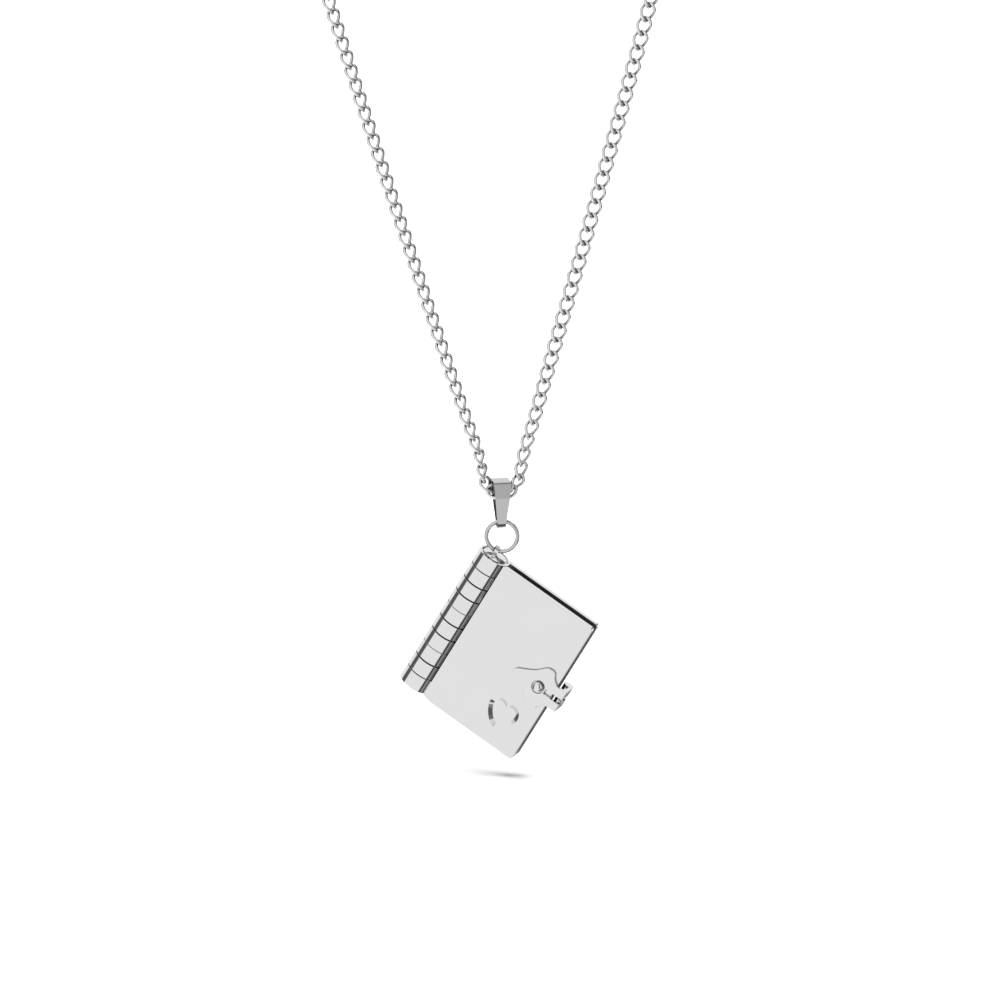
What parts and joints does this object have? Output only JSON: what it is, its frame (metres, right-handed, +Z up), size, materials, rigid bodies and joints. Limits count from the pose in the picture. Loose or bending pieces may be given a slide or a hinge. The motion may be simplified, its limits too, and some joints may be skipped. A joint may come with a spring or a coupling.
{
  "type": "pendant necklace",
  "caption": "Long steel link chain necklace with a bail and jump ring holding a little closed book: hinged covers, barrel spine, heart and clasp",
  "frame": {"origin": "the middle of the chain's back, where it lies on the nape of the wearer's neck", "axes": "+Z up, +X to the wearer's left, which is the right side of the picture, and -Y to the front"},
  "size_m": [0.1168, 0.1118, 0.2571],
  "materials": {
    "chain": "polished stainless steel",
    "bail": "polished stainless steel",
    "fittings": "polished stainless steel",
    "covers": "mirror-polished stainless steel"
  },
  "bodies": {
    "chain": {"chain_front": "chain", "chain_back": "chain", "neck_clasp": "fittings"},
    "bail": {"bail": "bail"},
    "book": {"jump_ring": "chain", "spine_pin": "fittings", "back_cover": "covers"},
    "front_cover": {"front_cover": "covers"},
    "latch": {"latch_plate": "fittings", "ball_stud": "fittings"}
  },
  "joints": [
    {"name": "bail_swing", "type": "hinge", "parent": "chain", "child": "bail", "pos_m": [0.0048, -0.10159, -0.20543], "axis": [0.9848, 0.1736, 0], "range_deg": [-30, 30]},
    {"name": "pendant_turn", "type": "hinge", "parent": "bail", "child": "book", "pos_m": [0.005, -0.10159, -0.21389], "axis": [0, 1, 0], "range_deg": [-30, 30]},
    {"name": "cover_hinge", "type": "hinge", "parent": "book", "child": "front_cover", "pos_m": [-0.00365, -0.09896, -0.23057], "axis": [-0.4878, 0.1699, -0.8563], "range_deg": [0, 170]},
    {"name": "latch_hinge", "type": "hinge", "parent": "front_cover", "child": "latch", "pos_m": [0.01614, -0.10447, -0.24294], "axis": [0.4878, -0.1699, 0.8563], "range_deg": [0, 150]}
  ]
}
